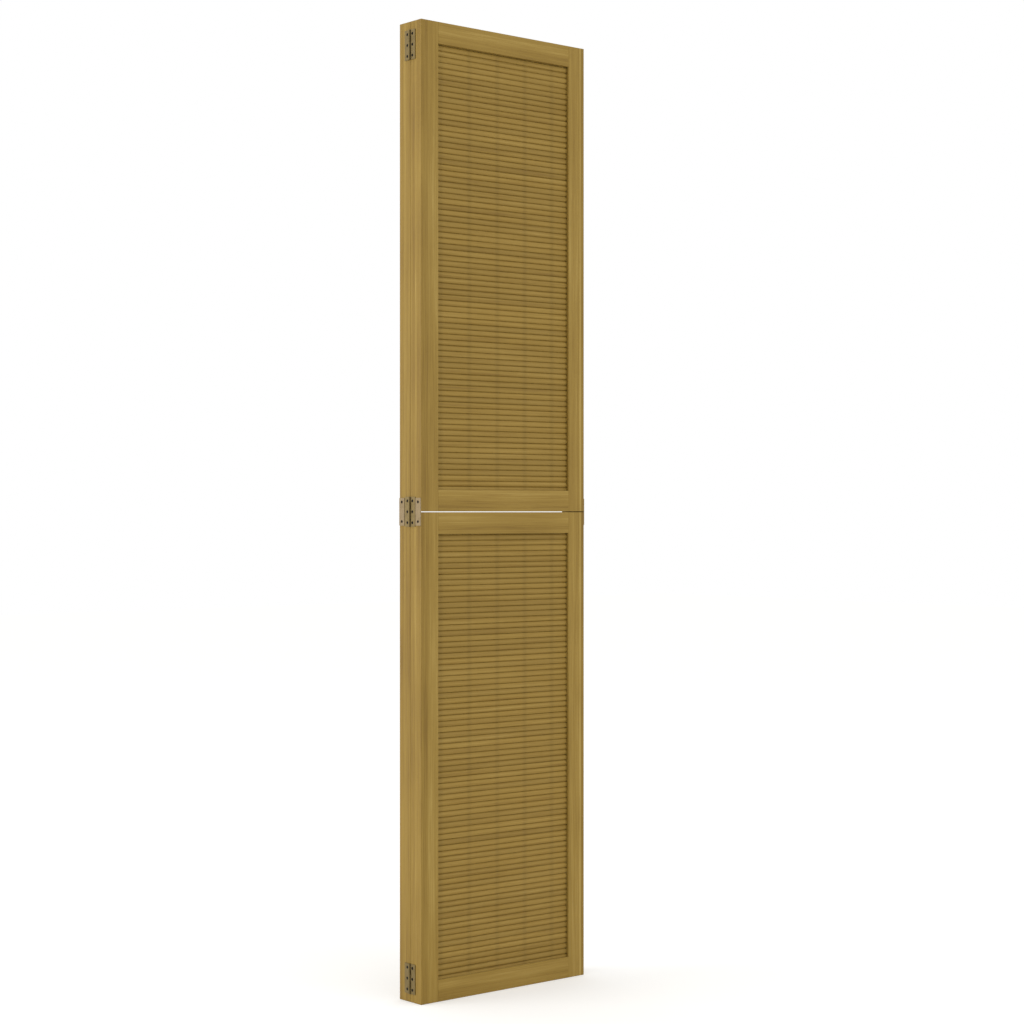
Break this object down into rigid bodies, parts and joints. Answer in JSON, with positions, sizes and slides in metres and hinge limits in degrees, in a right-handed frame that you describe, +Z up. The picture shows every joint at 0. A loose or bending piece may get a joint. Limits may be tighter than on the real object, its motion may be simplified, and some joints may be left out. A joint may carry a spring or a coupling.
{
  "type": "folding screen",
  "caption": "Folding wooden screen with slatted panels: framed leaves hinged at one edge, each joined from an upper and a lower half frame by flat metal plates.",
  "frame": {"origin": "on the floor, at the centre of the folded screen's footprint", "axes": "+Z up; +X across a leaf from its hinged edge to its free edge; +Y from the front leaf to the rear leaf folded against it"},
  "size_m": [0.4062, 0.0644, 1.8],
  "materials": {
    "frame_wood": "oiled softwood, satin",
    "slat_wood": "oiled softwood, satin",
    "dowel_wood": "plain beech, unfinished",
    "hinge_steel": "plated steel, satin",
    "plate_steel": "plated steel, satin",
    "screw_steel": "black, low sheen"
  },
  "bodies": {
    "front_leaf": {"front_lower_hinge_stile": "frame_wood", "front_lower_free_stile": "frame_wood", "front_lower_bottom_rail": "frame_wood", "front_lower_top_rail": "frame_wood", "front_lower_slats": "slat_wood", "front_lower_dowels": "dowel_wood", "front_upper_hinge_stile": "frame_wood", "front_upper_free_stile": "frame_wood", "front_upper_bottom_rail": "frame_wood", "front_upper_top_rail": "frame_wood", "front_upper_slats": "slat_wood", "front_upper_dowels": "dowel_wood", "bottom_hinge_front_leaf": "hinge_steel", "bottom_hinge_front_screws": "screw_steel", "middle_hinge_front_leaf": "hinge_steel", "middle_hinge_front_screws": "screw_steel", "top_hinge_front_leaf": "hinge_steel", "top_hinge_front_screws": "screw_steel", "front_hinge_edge_plate": "plate_steel", "front_hinge_edge_plate_screws": "screw_steel", "front_free_edge_plate": "plate_steel", "front_free_edge_plate_screws": "screw_steel", "bottom_hinge_pin": "hinge_steel", "middle_hinge_pin": "hinge_steel", "top_hinge_pin": "hinge_steel"},
    "rear_leaf": {"rear_lower_hinge_stile": "frame_wood", "rear_lower_free_stile": "frame_wood", "rear_lower_bottom_rail": "frame_wood", "rear_lower_top_rail": "frame_wood", "rear_lower_slats": "slat_wood", "rear_lower_dowels": "dowel_wood", "rear_upper_hinge_stile": "frame_wood", "rear_upper_free_stile": "frame_wood", "rear_upper_bottom_rail": "frame_wood", "rear_upper_top_rail": "frame_wood", "rear_upper_slats": "slat_wood", "rear_upper_dowels": "dowel_wood", "bottom_hinge_rear_leaf": "hinge_steel", "bottom_hinge_rear_screws": "screw_steel", "middle_hinge_rear_leaf": "hinge_steel", "middle_hinge_rear_screws": "screw_steel", "top_hinge_rear_leaf": "hinge_steel", "top_hinge_rear_screws": "screw_steel", "rear_hinge_edge_plate": "plate_steel", "rear_hinge_edge_plate_screws": "screw_steel", "rear_free_edge_plate": "plate_steel", "rear_free_edge_plate_screws": "screw_steel"}
  },
  "joints": [
    {"name": "leaf_fold", "type": "hinge", "parent": "front_leaf", "child": "rear_leaf", "pos_m": [-0.2009, 0, 0.9], "axis": [0, 0, 1], "range_deg": [0, 180]}
  ]
}
